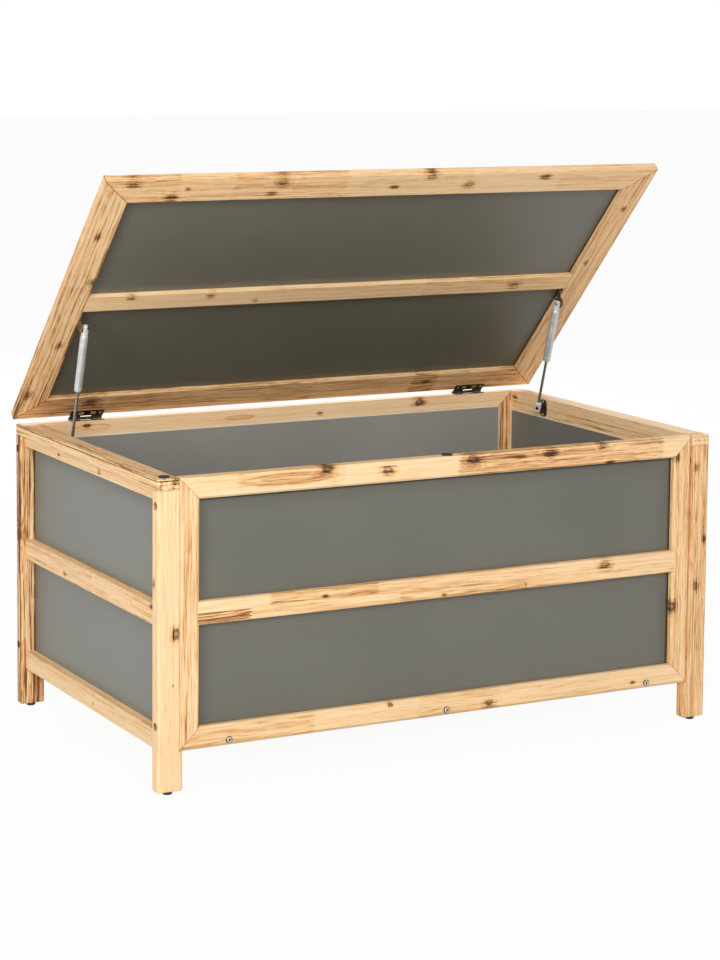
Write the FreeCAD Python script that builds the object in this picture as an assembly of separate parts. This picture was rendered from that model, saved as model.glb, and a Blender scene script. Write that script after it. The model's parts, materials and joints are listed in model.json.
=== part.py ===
import FreeCAD, Part
import math
import os
from FreeCAD import Vector

os.makedirs("parts", exist_ok=True)

# Outdoor storage chest with a framed lid held open by two gas struts.
# Millimetres, Z up, X across the front, Y from front to back.
# The origin lies on the floor under the middle of the chest.
# The lid is shown open, at the full extension of the struts.

# Chest size
box_width = 1200.0
box_depth = 711.0
rim_height = 580.0

# Legs and foot glides
leg_width = 50.0
leg_depth = 27.0
leg_round = 5.0
leg_foot_chamfer = 2.0
glide_diameter = 19.0
glide_height = 7.0
nail_diameter = 3.0
nail_length = 14.0

# Front and back frames
frame_thickness = 22.0
frame_member = 41.0
frame_lap = 8.0
frame_bottom = 79.0
frame_mid_rail = 43.0
frame_edge_bevel = 6.0
frame_inner_bevel = 4.0
frame_panel_recess = 14.0
rail_easing = 4.0

# Sides
cap_thickness = 21.5
cap_arris = 1.5
cap_groove_drop = 3.0
cap_groove_size = 1.2
side_rail_inset = 10.0
side_top_rail = 22.0
side_mid_rail = 40.0
side_bottom_rail = 37.0
side_panel_recess = 18.5
side_rail_easing = 3.0

# Sheet panels
sheet_thickness = 0.8
groove_depth = 8.0
panel_edge_clearance = 1.0
leg_groove_depth = 6.0

# Floor
bearer_width = 30.0
bearer_height = 22.0
outer_bearer_from_side = 142.0
floor_thickness = 9.0
floor_clearance = 1.0

# Bolts through the legs
bolt_diameter = 6.0
bolt_head_diameter = 10.0
bolt_head_height = 4.0
bolt_socket_width = 5.0
bolt_socket_depth = 2.4
bolt_pocket_diameter = 15.0
bolt_pocket_depth = 12.0
bolt_reach = 27.0
bolt_from_frame_edge = 49.0

# Screws into the floor bearers
floor_screw_diameter = 4.5
floor_screw_head = 13.0
floor_screw_head_height = 2.8
floor_screw_depth = 28.0
screw_slot_width = 1.4
screw_slot_depth = 1.2

# Lid
lid_side_overhang = 10.0
lid_front_overhang = 7.3
lid_thickness = 18.0
lid_member = 58.0
lid_mid_rail = 40.0
lid_panel_recess = 11.0
lid_arris = 1.5
lid_gap = 3.0
lid_angle = 46.2

# Bumpers under the lid
bumper_diameter = 21.0
bumper_from_front = 20.0

# Hinges
hinge_from_side = 148.0
hinge_length = 72.0
hinge_axis_from_back = 5.3
hinge_setback = 10.0
leaf_thickness = 1.3
lid_leaf_reach = 24.0
fixed_leaf_reach = 17.5
leaf_neck = 9.0
knuckle_radius = 2.7
knuckle_gap = 0.3
pin_diameter = 3.0
pin_clearance = 0.05
leaf_window_length = 13.0
leaf_window_width = 9.0
leaf_window_spacing = 13.0
hinge_screw_from_middle = 28.0

# Flat screws of the hinges and of the lid brackets
flat_screw_diameter = 3.5
flat_screw_head = 6.4
flat_screw_length = 16.0

# Gas struts
lid_pivot_reach = 309.0
lid_pivot_drop = 14.0
box_pivot_reach = 153.0
box_pivot_drop = 22.0
tube_diameter = 16.0
tube_wall = 1.2
tube_length = 120.0
tube_head = 4.0
tube_neck_diameter = 6.0
tube_neck_length = 7.0
gland_length = 8.0
rod_diameter = 6.0
rod_clearance = 0.05
piston_length = 6.0
piston_clearance = 0.4
piston_stop_gap = 0.4
end_fitting_diameter = 14.0
end_fitting_tail = 7.0
tube_end_length = 14.0
rod_end_length = 20.0
rod_seat = 12.0
ball_radius = 4.0
ball_clearance = 0.1
ball_mouth_radius = 3.4
stud_diameter = 5.0
clip_slot_width = 3.0
clip_slot_depth = 4.0

# Strut brackets
bracket_thickness = 2.0
box_plate_width = 24.0
box_plate_height = 36.0
box_plate_below_rim = 2.0
plate_round = 8.0
bracket_screw_diameter = 3.5
bracket_screw_head = 6.4
bracket_screw_head_height = 1.5
bracket_screw_length = 16.0
box_plate_screw_spacing = 28.0
lid_plate_length = 36.0
lid_plate_forward = 8.0
lid_plate_from_panel = 1.0
lid_plate_from_mid_rail = 6.5
lid_ear_width = 20.0
lid_ear_drop = 22.0
lid_ear_clearance = 1.0
lid_bracket_screw_spacing = 20.0
stud_gap = 0.3

# Places that follow from the sizes
half_width = box_width / 2
half_depth = box_depth / 2
leg_top = rim_height - cap_thickness
frame_height = rim_height - frame_bottom
frame_end = half_width - leg_width + frame_lap
frame_length = 2 * frame_end
frame_middle = half_depth - frame_thickness / 2
inner_front = half_depth - frame_thickness
leg_inner_x = half_width - leg_width
leg_inner_y = half_depth - leg_depth
side_rail_outer = half_width - side_rail_inset
side_rail_inner = frame_end
side_panel_outer = side_rail_outer - side_panel_recess
side_bottom_low = frame_bottom
side_bottom_high = side_bottom_low + side_bottom_rail
side_top_low = leg_top - side_top_rail
side_mid_height = (side_bottom_high + side_top_low) / 2
bearer_low = frame_bottom
floor_low = bearer_low + bearer_height
outer_bearer_x = half_width - outer_bearer_from_side
hinge_y = half_depth - hinge_axis_from_back
hinge_z = rim_height + lid_gap
hinge_x = half_width - hinge_from_side
lid_back = hinge_y - hinge_setback
lid_width = box_width + 2 * lid_side_overhang
lid_depth = lid_back + half_depth + lid_front_overhang
hinge_axis_point = Vector(0, hinge_y, hinge_z)
lid_stile_inner = lid_width / 2 - lid_member
lid_ear_face = lid_stile_inner - bracket_thickness
strut_plane = lid_ear_face - lid_ear_clearance - end_fitting_diameter / 2
lid_plate_rise = lid_panel_recess - lid_plate_from_panel
lid_plate_end = lid_pivot_reach + lid_plate_forward + lid_plate_length / 2 - hinge_setback
lid_mid_low = lid_plate_end + lid_plate_from_mid_rail
tube_start = tube_end_length
tube_finish = tube_end_length + tube_length


# Small helpers
def block(x_span, y_span, z_span):
    """A box between two limits on each axis."""
    size = [span[1] - span[0] for span in (x_span, y_span, z_span)]
    return Part.makeBox(*size, Vector(x_span[0], y_span[0], z_span[0]))


def rod_between(start, finish, radius):
    """A cylinder from one point to another."""
    along = finish - start
    return Part.makeCylinder(radius, along.Length, start, along)


def joined(shapes):
    """One solid made of touching shapes."""
    whole = shapes[0]
    for shape in shapes[1:]:
        whole = whole.fuse(shape)
    return whole.removeSplitter()


def without(shape, tools):
    """A shape with every tool cut away."""
    for tool in tools:
        shape = shape.cut(tool)
    return shape


def mirror_x(shape):
    return shape.mirror(Vector(0, 0, 0), Vector(1, 0, 0))


def mirror_y(shape):
    return shape.mirror(Vector(0, 0, 0), Vector(0, 1, 0))


def edges_along(shape, axis, limits):
    """Straight edges along one axis whose middles lie on all the given planes."""
    found = []
    for edge in shape.Edges:
        box = edge.BoundBox
        spans = (box.XLength, box.YLength, box.ZLength)
        others = [span for place, span in enumerate(spans) if place != axis]
        if max(others) > 1e-6 or spans[axis] < 1e-6:
            continue
        middle = box.Center
        if all(abs(middle[place] - value) < 1e-6 for place, value in limits.items()):
            found.append(edge)
    return found


def opened(shape):
    """A lid piece drawn closed, turned to the open position."""
    turned = shape.copy()
    turned.rotate(hinge_axis_point, Vector(1, 0, 0), -lid_angle)
    return turned


def export(name, shapes):
    """Write one node from one solid or from a group of separate solids."""
    if not isinstance(shapes, list):
        shapes = [shapes]
    solids = [solid for shape in shapes for solid in shape.Solids]
    whole = solids[0] if len(solids) == 1 else Part.makeCompound(solids)
    whole.exportStep("parts/" + name + ".step")


def pan_screw(seat, into, shank, head, head_height, length):
    """A screw with a slotted round head standing on the seat and a shank going in."""
    into = into.normalize()
    top = seat - into * head_height
    body = joined([rod_between(seat, top, head / 2), rod_between(seat, seat + into * length, shank / 2)])
    slot = Part.makeBox(head, screw_slot_width, screw_slot_depth)
    slot.translate(Vector(-head / 2, -screw_slot_width / 2, 0))
    slot.Placement = FreeCAD.Placement(top, FreeCAD.Rotation(Vector(0, 0, 1), into)).multiply(slot.Placement)
    return body.cut(slot)


def flush_screw(face, into, depth):
    """A flat screw whose head fills a countersink as deep as the sheet it holds."""
    into = into.normalize()
    cone = Part.makeCone(flat_screw_head / 2, flat_screw_diameter / 2, depth, face, into)
    shank = rod_between(face + into * depth, face + into * flat_screw_length, flat_screw_diameter / 2)
    return joined([cone, shank])


# Legs
def bolt_places():
    """Height of the two bolts in each leg."""
    return (frame_bottom + bolt_from_frame_edge, rim_height - bolt_from_frame_edge)


def front_left_leg():
    leg = block((-half_width, -leg_inner_x), (-half_depth, -leg_inner_y), (glide_height, leg_top))
    leg = leg.makeFillet(leg_round, [e for e in leg.Edges if e.BoundBox.ZLength > leg_width * 2])
    foot = [e for e in leg.Edges if e.BoundBox.ZMax < glide_height + 1e-6]
    leg = leg.makeChamfer(leg_foot_chamfer, foot)
    notch = block((-frame_end, -leg_inner_x), (-half_depth, -inner_front), (frame_bottom, leg_top))
    panel_groove = block((-side_panel_outer, -side_panel_outer + sheet_thickness),
                         (-leg_inner_y - leg_groove_depth, -leg_inner_y),
                         (side_bottom_high - groove_depth, side_top_low + groove_depth))
    tools = [notch, panel_groove]
    for height in bolt_places():
        outside = Vector(-half_width, -frame_middle, height)
        pocket_end = outside + Vector(bolt_pocket_depth, 0, 0)
        inside = Vector(-frame_end, -frame_middle, height)
        tools.append(rod_between(outside, pocket_end, bolt_pocket_diameter / 2))
        tools.append(rod_between(outside, inside, bolt_diameter / 2))
    tools.append(rod_between(glide_seat(), glide_seat() + Vector(0, 0, nail_length), nail_diameter / 2))
    return without(leg, tools)


def glide_seat():
    """Middle of the underside of the front left leg."""
    return Vector(-half_width + leg_width / 2, -half_depth + leg_depth / 2, glide_height)


def front_left_glide():
    seat = glide_seat()
    pad = rod_between(seat - Vector(0, 0, glide_height), seat, glide_diameter / 2)
    nail = rod_between(seat, seat + Vector(0, 0, nail_length), nail_diameter / 2)
    return joined([pad, nail])


def hex_socket(mouth):
    """Six-sided socket going in from the head of a bolt."""
    corner_radius = bolt_socket_width / math.sqrt(3)
    corners = []
    for turn in range(7):
        angle = math.radians(60 * turn)
        corners.append(mouth + Vector(0, corner_radius * math.sin(angle), corner_radius * math.cos(angle)))
    return Part.Face(Part.makePolygon(corners)).extrude(Vector(bolt_socket_depth, 0, 0))


def front_left_bolts():
    bolts = []
    for height in bolt_places():
        seat = Vector(-half_width + bolt_pocket_depth, -frame_middle, height)
        top = seat - Vector(bolt_head_height, 0, 0)
        end = Vector(-frame_end + bolt_reach, -frame_middle, height)
        head = rod_between(top, seat, bolt_head_diameter / 2)
        shank = rod_between(seat, end, bolt_diameter / 2)
        bolts.append(joined([head, shank]).cut(hex_socket(top)))
    return bolts


def all_corners(shapes):
    """The front left pieces and their copies at the other three corners."""
    right = [mirror_x(shape) for shape in shapes]
    return shapes + right + [mirror_y(shape) for shape in shapes + right]


# Sides
def cap_outline(inset, z_span):
    """The cap's plan, with its outer corners rounded like the legs."""
    outer = -half_width + inset
    end = half_depth - inset
    plan = block((outer, -frame_end), (-end, end), z_span)
    return plan.makeFillet(leg_round - inset, edges_along(plan, 2, {0: outer}))


def left_cap():
    cap = cap_outline(0, (leg_top, rim_height))
    cap = cap.makeFillet(side_rail_easing, edges_along(cap, 1, {0: -half_width, 2: leg_top}))
    cap = cap.makeFillet(cap_arris, edges_along(cap, 1, {0: -half_width, 2: rim_height}))
    groove_span = (rim_height - cap_groove_drop - cap_groove_size, rim_height - cap_groove_drop)
    groove = cap_outline(0, groove_span).cut(cap_outline(cap_groove_size, groove_span))
    return cap.cut(groove)


def left_side_panel_slot(edge_clearance):
    """Space taken by the side sheet, with free room at the top and the ends."""
    end = leg_inner_y + leg_groove_depth - edge_clearance
    return block((-side_panel_outer, -side_panel_outer + sheet_thickness), (-end, end),
                 (side_bottom_high - groove_depth, side_top_low + groove_depth - edge_clearance))


def left_side_rail(low, height, depth, eased_edges):
    """A rail between the left legs with its outer arrises rounded."""
    outer = -side_rail_outer
    rail = block((outer, outer + depth), (-leg_inner_y, leg_inner_y), (low, low + height))
    edges = [edge for level in eased_edges for edge in edges_along(rail, 1, {0: outer, 2: level})]
    return rail.makeFillet(side_rail_easing, edges)


def left_side_rails():
    full = side_rail_outer - side_rail_inner
    mid_low = side_mid_height - side_mid_rail / 2
    top = left_side_rail(side_top_low, side_top_rail, full, [side_top_low])
    mid = left_side_rail(mid_low, side_mid_rail, side_panel_recess, [mid_low, mid_low + side_mid_rail])
    bottom = left_side_rail(side_bottom_low, side_bottom_rail, full, [side_bottom_low, side_bottom_high])
    slot = left_side_panel_slot(0)
    return {"top": top.cut(slot), "mid": mid, "bottom": bottom.cut(slot)}


# Mitred frames, drawn with the lower left corner at the origin and the face toward -Y
def polygon_prism(corners, thickness):
    """A flat board from corners given as across and up."""
    points = [Vector(across, 0, up) for across, up in corners + corners[:1]]
    return Part.Face(Part.makePolygon(points)).extrude(Vector(0, thickness, 0))


def mitred_boards(width, height, member, thickness):
    """Bottom, top, left and right boards that meet at mitres."""
    right = width - member
    high = height - member
    boards = {
        "bottom": [(0, 0), (width, 0), (right, member), (member, member)],
        "top": [(0, height), (member, high), (right, high), (width, height)],
        "left": [(0, 0), (member, member), (member, high), (0, height)],
        "right": [(width, 0), (width, height), (right, high), (right, member)],
    }
    return {name: polygon_prism(corners, thickness) for name, corners in boards.items()}


def sheet_in(width, height, member, recess, edge_clearance):
    """Space taken by a sheet in the groove of a frame, seated at the bottom."""
    low = member - groove_depth
    return block((low + edge_clearance, width - low - edge_clearance), (recess, recess + sheet_thickness),
                 (low, height - low - edge_clearance))


def front_frame():
    """Boards, middle rail and sheet of the front frame in their own places."""
    boards = mitred_boards(frame_length, frame_height, frame_member, frame_thickness)
    blank = block((0, frame_length), (0, frame_thickness), (0, frame_height))
    outer = edges_along(blank, 0, {1: 0, 2: 0})
    outer += edges_along(blank, 2, {0: 0, 1: 0}) + edges_along(blank, 2, {0: frame_length, 1: 0})
    blank = blank.makeChamfer(frame_edge_bevel, outer)
    inner = frame_member - frame_inner_bevel
    bevel = Part.makeWedge(inner, 0, inner, frame_member, frame_member,
                           frame_length - inner, frame_inner_bevel, frame_height - inner,
                           frame_height - frame_member, frame_length - frame_member)
    slot = sheet_in(frame_length, frame_height, frame_member, frame_panel_recess, 0)
    pieces = {name: without(board.common(blank), [bevel, slot]) for name, board in boards.items()}
    mid_low = (frame_height - frame_mid_rail) / 2
    mid_high = mid_low + frame_mid_rail
    mid = block((inner, frame_length - inner), (0, frame_panel_recess), (mid_low, mid_high))
    eased = edges_along(mid, 0, {1: 0, 2: mid_low}) + edges_along(mid, 0, {1: 0, 2: mid_high})
    pieces["mid"] = without(mid.makeFillet(rail_easing, eased), [pieces["left"], pieces["right"]])
    pieces["panel"] = sheet_in(frame_length, frame_height, frame_member, frame_panel_recess,
                               panel_edge_clearance)
    for piece in pieces.values():
        piece.translate(Vector(-frame_end, -half_depth, frame_bottom))
    return pieces


# Floor
def bearer_places():
    return (-outer_bearer_x, 0.0, outer_bearer_x)


def floor_bearers():
    half = bearer_width / 2
    length = (-inner_front, inner_front)
    return [block((x - half, x + half), length, (bearer_low, floor_low)) for x in bearer_places()]


def floor_board():
    reach_x = side_rail_inner - floor_clearance
    reach_y = inner_front - floor_clearance
    board = block((-reach_x, reach_x), (-reach_y, reach_y), (floor_low, floor_low + floor_thickness))
    corner = block((-half_width, -leg_inner_x + floor_clearance),
                   (-half_depth, -leg_inner_y + floor_clearance), (0, rim_height))
    return without(board, all_corners([corner]))


def floor_screw_seats():
    """Where the heads of the front floor screws meet the front frame."""
    return [Vector(x, -half_depth, bearer_low + bearer_height / 2) for x in bearer_places()]


def front_floor_screws():
    reach = frame_thickness + floor_screw_depth
    return [pan_screw(seat, Vector(0, 1, 0), floor_screw_diameter, floor_screw_head,
                      floor_screw_head_height, reach) for seat in floor_screw_seats()]


def front_floor_screw_holes():
    reach = Vector(0, frame_thickness + floor_screw_depth, 0)
    return [rod_between(seat, seat + reach, floor_screw_diameter / 2) for seat in floor_screw_seats()]


# Lid, drawn closed
def lid_pieces():
    """Boards, middle rail and two sheets of the lid, face down on the chest."""
    boards = mitred_boards(lid_width, lid_depth, lid_member, lid_thickness)
    blank = block((0, lid_width), (0, lid_thickness), (0, lid_depth))
    blank = blank.makeFillet(lid_arris, blank.Edges)
    slot = sheet_in(lid_width, lid_depth, lid_member, lid_panel_recess, 0)
    pieces = {name: board.common(blank).cut(slot) for name, board in boards.items()}
    mid_high = lid_mid_low + lid_mid_rail
    mid = block((lid_member, lid_width - lid_member), (0, lid_thickness), (lid_mid_low, mid_high))
    everywhere = (0, lid_width)
    through = (0, lid_thickness)
    rear_zone = block(everywhere, through, (0, lid_mid_low + groove_depth))
    front_zone = block(everywhere, through, (mid_high - groove_depth, lid_depth))
    rear_slot = slot.common(rear_zone)
    front_slot = slot.common(front_zone)
    pieces["mid"] = without(mid, [rear_slot, front_slot])
    sheet = sheet_in(lid_width, lid_depth, lid_member, lid_panel_recess, panel_edge_clearance)
    pieces["rear_panel"] = sheet.common(rear_zone)
    pieces["front_panel"] = sheet.common(front_zone)
    for piece in pieces.values():
        piece.rotate(Vector(0, 0, 0), Vector(1, 0, 0), 90)
        piece.translate(Vector(-lid_width / 2, lid_back, hinge_z))
    return pieces


# Bumpers
def bumpers():
    """Two rubber discs, one on the left cap and one on the front rail."""
    on_cap = Vector(-(half_width + frame_end) / 2, -half_depth + bumper_from_front, rim_height)
    on_rail = Vector(0, -frame_middle, rim_height)
    height = Vector(0, 0, lid_gap)
    return [rod_between(place, place + height, bumper_diameter / 2) for place in (on_cap, on_rail)]


# Hinges, drawn with the lid closed
def hinge_middles():
    return (-hinge_x, hinge_x)


def knuckle(x_span, radius):
    return rod_between(Vector(x_span[0], hinge_y, hinge_z), Vector(x_span[1], hinge_y, hinge_z), radius)


def hinge_spans(x):
    """Three equal lengths of knuckle with a gap between them."""
    third = (hinge_length - 2 * knuckle_gap) / 3
    starts = [x - hinge_length / 2 + count * (third + knuckle_gap) for count in range(3)]
    return [(start, start + third) for start in starts]


def lid_screw_places(x):
    """Screws of the moving leaf, on the face of the leaf."""
    y = hinge_y - (hinge_setback + lid_leaf_reach) / 2
    return [Vector(x + side * hinge_screw_from_middle, y, hinge_z - leaf_thickness) for side in (-1, 1)]


def rail_screw_places(x):
    """Screws of the fixed leaf, on the face of the leaf."""
    y = hinge_y - (leaf_neck + fixed_leaf_reach) / 2
    return [Vector(x + side * hinge_screw_from_middle, y, rim_height + leaf_thickness) for side in (-1, 1)]


def hinge_lid_leaf(x):
    left, middle, right = hinge_spans(x)
    level = (hinge_z - leaf_thickness, hinge_z)
    plate = block((left[0], right[1]), (hinge_y - lid_leaf_reach, hinge_y - leaf_neck), level)
    necks = [block(span, (hinge_y - leaf_neck, hinge_y), level) for span in (left, right)]
    leaf = joined([plate] + necks + [knuckle(span, knuckle_radius) for span in (left, right)])
    middle_y = hinge_y - (hinge_setback + lid_leaf_reach) / 2
    windows = []
    for side in (-1, 1):
        across = x + side * leaf_window_spacing
        windows.append(block((across - leaf_window_length / 2, across + leaf_window_length / 2),
                             (middle_y - leaf_window_width / 2, middle_y + leaf_window_width / 2), level))
    heads = [flush_screw(place, Vector(0, 0, 1), leaf_thickness) for place in lid_screw_places(x)]
    bore = knuckle((left[0], right[1]), pin_diameter / 2 + pin_clearance)
    return without(leaf, windows + heads + [bore])


def hinge_fixed_leaf(x):
    left, middle, right = hinge_spans(x)
    level = (rim_height, rim_height + leaf_thickness)
    plate = block((left[0], right[1]), (hinge_y - fixed_leaf_reach, hinge_y - leaf_neck), level)
    neck = block(middle, (hinge_y - leaf_neck, hinge_y), level)
    leaf = joined([plate, neck, knuckle(middle, knuckle_radius)])
    heads = [flush_screw(place, Vector(0, 0, -1), leaf_thickness) for place in rail_screw_places(x)]
    return without(leaf, heads + [knuckle(middle, pin_diameter / 2)])


def hinge_pin(x):
    left, middle, right = hinge_spans(x)
    return knuckle((left[0], right[1]), pin_diameter / 2)


# Gas struts, drawn on the right side
def box_pivot():
    return Vector(strut_plane, hinge_y - box_pivot_reach, hinge_z - box_pivot_drop)


def lid_pivot():
    """Ball at the lid, turned with the open lid."""
    closed = Vector(0, -lid_pivot_reach, -lid_pivot_drop)
    turn = FreeCAD.Rotation(Vector(1, 0, 0), -lid_angle)
    return Vector(strut_plane, hinge_y, hinge_z) + turn.multVec(closed)


def along_strut():
    """Direction from the chest pivot to the lid pivot."""
    return (lid_pivot() - box_pivot()).normalize()


def ball_and_stem(centre, ball, stem, reach):
    """A ball with a stem toward the side of the chest, turned about the pivot line."""
    neck = math.sqrt(ball ** 2 - stem ** 2)
    crown = ball * math.sqrt(0.5)
    start = Vector(-ball, 0, 0)
    shoulder = Vector(neck, 0, stem)
    arc = Part.Arc(start, Vector(-crown, 0, crown), shoulder).toShape()
    tip = Vector(reach, 0, stem)
    foot = Vector(reach, 0, 0)
    outline = Part.Wire([arc] + Part.makePolygon([shoulder, tip, foot, start]).Edges)
    turned = Part.Face(outline).revolve(Vector(0, 0, 0), Vector(1, 0, 0), 360)
    turned.translate(centre)
    return turned


def ball_pocket(centre):
    """Round pocket for the ball with a narrower mouth toward the side of the chest."""
    return ball_and_stem(centre, ball_radius + ball_clearance, ball_mouth_radius, end_fitting_diameter)


def clip_slot(centre, direction, start):
    """Slot across an end fitting for the wire that keeps the ball in."""
    side = Vector(1, 0, 0)
    across = direction.cross(side)
    slot = Part.makeBox(clip_slot_depth, end_fitting_diameter, clip_slot_width)
    slot.translate(Vector(-end_fitting_diameter / 2, -end_fitting_diameter / 2, start))
    turn = FreeCAD.Rotation(side, across, direction, "ZXY")
    slot.Placement = FreeCAD.Placement(centre, turn).multiply(slot.Placement)
    return slot


def right_rod_end():
    centre = box_pivot()
    up = along_strut()
    body = rod_between(centre - up * end_fitting_tail, centre + up * rod_end_length, end_fitting_diameter / 2)
    seat = rod_between(centre + up * rod_seat, centre + up * rod_end_length, rod_diameter / 2)
    return without(body, [ball_pocket(centre), seat, clip_slot(centre, up, -clip_slot_width / 2)])


def right_rod():
    """Rod with its piston, which meets the gland when the lid is open."""
    base = box_pivot()
    up = along_strut()
    gland_top = (lid_pivot() - base).Length - tube_finish + gland_length
    piston_low = gland_top + piston_stop_gap
    rod = rod_between(base + up * rod_seat, base + up * piston_low, rod_diameter / 2)
    piston_radius = tube_diameter / 2 - tube_wall - piston_clearance
    piston = rod_between(base + up * piston_low, base + up * (piston_low + piston_length), piston_radius)
    return joined([rod, piston])


def right_tube():
    top = lid_pivot()
    down = along_strut() * -1
    body = rod_between(top + down * tube_start, top + down * tube_finish, tube_diameter / 2)
    neck = rod_between(top + down * tube_start, top + down * (tube_start - tube_neck_length),
                       tube_neck_diameter / 2)
    hollow = rod_between(top + down * (tube_start + tube_head), top + down * (tube_finish - gland_length),
                         tube_diameter / 2 - tube_wall)
    bore = rod_between(top + down * (tube_finish - gland_length), top + down * tube_finish,
                       rod_diameter / 2 + rod_clearance)
    return without(joined([body, neck]), [hollow, bore])


def right_tube_end():
    centre = lid_pivot()
    down = along_strut() * -1
    body = rod_between(centre - down * end_fitting_tail, centre + down * tube_end_length,
                       end_fitting_diameter / 2)
    seat = rod_between(centre + down * (tube_start - tube_neck_length), centre + down * tube_start,
                       tube_neck_diameter / 2)
    return without(body, [ball_pocket(centre), seat, clip_slot(centre, down, -clip_slot_width / 2)])


def right_lid_stud():
    """Ball stud in the upper end fitting, just clear of the ear of the lid bracket."""
    centre = lid_pivot()
    return ball_and_stem(centre, ball_radius, stud_diameter / 2, lid_ear_face - stud_gap - centre.x)


# Strut brackets, drawn on the right side
def right_box_bracket():
    pivot = box_pivot()
    top = rim_height - box_plate_below_rim
    half = box_plate_width / 2
    plate = block((side_rail_inner - bracket_thickness, side_rail_inner), (pivot.y - half, pivot.y + half),
                  (top - box_plate_height, top))
    plate = plate.makeFillet(plate_round, edges_along(plate, 0, {}))
    stud = ball_and_stem(pivot, ball_radius, stud_diameter / 2, side_rail_inner - bracket_thickness - pivot.x)
    bracket = joined([plate, stud])
    holes = [rod_between(place, place + Vector(bracket_thickness, 0, 0), bracket_screw_diameter / 2)
             for place in box_bracket_screw_places()]
    return without(bracket, holes)


def box_bracket_screw_places():
    pivot = box_pivot()
    middle = rim_height - box_plate_below_rim - box_plate_height / 2
    return [Vector(side_rail_inner - bracket_thickness, pivot.y, middle + side * box_plate_screw_spacing / 2)
            for side in (-1, 1)]


def right_box_bracket_screws():
    return [pan_screw(place, Vector(1, 0, 0), bracket_screw_diameter, bracket_screw_head,
                      bracket_screw_head_height, bracket_screw_length)
            for place in box_bracket_screw_places()]


def lid_plate_middle():
    """Middle of the plate on the inner edge of the stile, a little forward of the pivot."""
    return hinge_y - lid_pivot_reach - lid_plate_forward


def lid_bracket_screw_places():
    middle = lid_plate_middle()
    height = hinge_z + lid_plate_rise / 2
    return [Vector(lid_ear_face, middle + side * lid_bracket_screw_spacing / 2, height) for side in (-1, 1)]


def right_lid_bracket():
    """Flat plate on the inner edge of the lid stile, with an ear that stands out below the stile."""
    middle = lid_plate_middle()
    half = lid_plate_length / 2
    across = (lid_ear_face, lid_stile_inner)
    plate = block(across, (middle - half, middle + half), (hinge_z, hinge_z + lid_plate_rise))
    pivot_y = hinge_y - lid_pivot_reach
    ear_half = lid_ear_width / 2
    ear = block(across, (pivot_y - ear_half, pivot_y + ear_half), (hinge_z - lid_ear_drop, hinge_z))
    low = edges_along(ear, 0, {2: hinge_z - lid_ear_drop})
    ear = ear.makeFillet(plate_round, low)
    return without(joined([plate, ear]), right_lid_bracket_screws())


def right_lid_bracket_screws():
    return [flush_screw(place, Vector(1, 0, 0), bracket_thickness) for place in lid_bracket_screw_places()]


def both_sides(shapes):
    return shapes + [mirror_x(shape) for shape in shapes]


# Legs, glides and bolts
leg = front_left_leg()
export("front_left_leg", leg)
export("front_right_leg", mirror_x(leg))
export("back_left_leg", mirror_y(leg))
export("back_right_leg", mirror_x(mirror_y(leg)))
export("foot_glides", all_corners([front_left_glide()]))
bolts = all_corners(front_left_bolts())
export("leg_bolts", bolts)

# Sides
box_screws = both_sides(right_box_bracket_screws())
cap = without(left_cap(), box_screws)
export("left_cap_rail", cap)
export("right_cap_rail", mirror_x(cap))
for place, rail in left_side_rails().items():
    rail = without(rail, box_screws)
    export("left_side_" + place + "_rail", rail)
    export("right_side_" + place + "_rail", mirror_x(rail))
side_panel = left_side_panel_slot(panel_edge_clearance)
export("left_side_panel", side_panel)
export("right_side_panel", mirror_x(side_panel))

# Floor and its screws
screw_holes = front_floor_screw_holes()
screw_holes += [mirror_y(hole) for hole in screw_holes]
floor_screws = front_floor_screws()
export("floor_screws", floor_screws + [mirror_y(screw) for screw in floor_screws])
export("floor_bearers", [without(bearer, screw_holes) for bearer in floor_bearers()])
export("floor_board", floor_board())

# Front and back frames
fixed_leaf_screws = [flush_screw(place, Vector(0, 0, -1), leaf_thickness)
                     for x in hinge_middles() for place in rail_screw_places(x)]
frame_names = {"top": "top_rail", "bottom": "bottom_rail", "left": "left_stile", "right": "right_stile",
               "mid": "mid_rail", "panel": "panel"}
opposite = {"left": "right", "right": "left"}
frame = front_frame()
frame["left"] = without(frame["left"], bolts)
frame["right"] = without(frame["right"], bolts)
frame["bottom"] = without(frame["bottom"], screw_holes)
for place, name in frame_names.items():
    export("front_" + name, frame[place])
    back = frame[place].copy()
    back.rotate(Vector(0, 0, 0), Vector(0, 0, 1), 180)
    back_name = frame_names[opposite.get(place, place)]
    export("back_" + back_name, without(back, fixed_leaf_screws) if place == "top" else back)

# Hinges and bumpers
export("bumpers", bumpers())
export("hinge_fixed_leaves", [hinge_fixed_leaf(x) for x in hinge_middles()])
export("hinge_fixed_screws", fixed_leaf_screws)
export("hinge_pins", [hinge_pin(x) for x in hinge_middles()])
export("hinge_lid_leaves", [opened(hinge_lid_leaf(x)) for x in hinge_middles()])
lid_leaf_screws = [flush_screw(place, Vector(0, 0, 1), leaf_thickness)
                   for x in hinge_middles() for place in lid_screw_places(x)]
export("hinge_lid_screws", [opened(screw) for screw in lid_leaf_screws])

# Lid
lid_bracket_screws = both_sides(right_lid_bracket_screws())
lid_names = {"bottom": "lid_back_rail", "top": "lid_front_rail", "left": "lid_left_stile",
             "right": "lid_right_stile", "mid": "lid_mid_rail", "rear_panel": "lid_rear_panel",
             "front_panel": "lid_front_panel"}
for place, piece in lid_pieces().items():
    if place in ("bottom", "left", "right"):
        piece = without(piece, lid_leaf_screws + lid_bracket_screws)
    export(lid_names[place], opened(piece))

# Strut brackets
export("strut_box_brackets", both_sides([right_box_bracket()]))
export("strut_box_screws", box_screws)
export("strut_lid_brackets", both_sides([opened(right_lid_bracket())]))
export("strut_lid_screws", [opened(screw) for screw in lid_bracket_screws])

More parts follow.
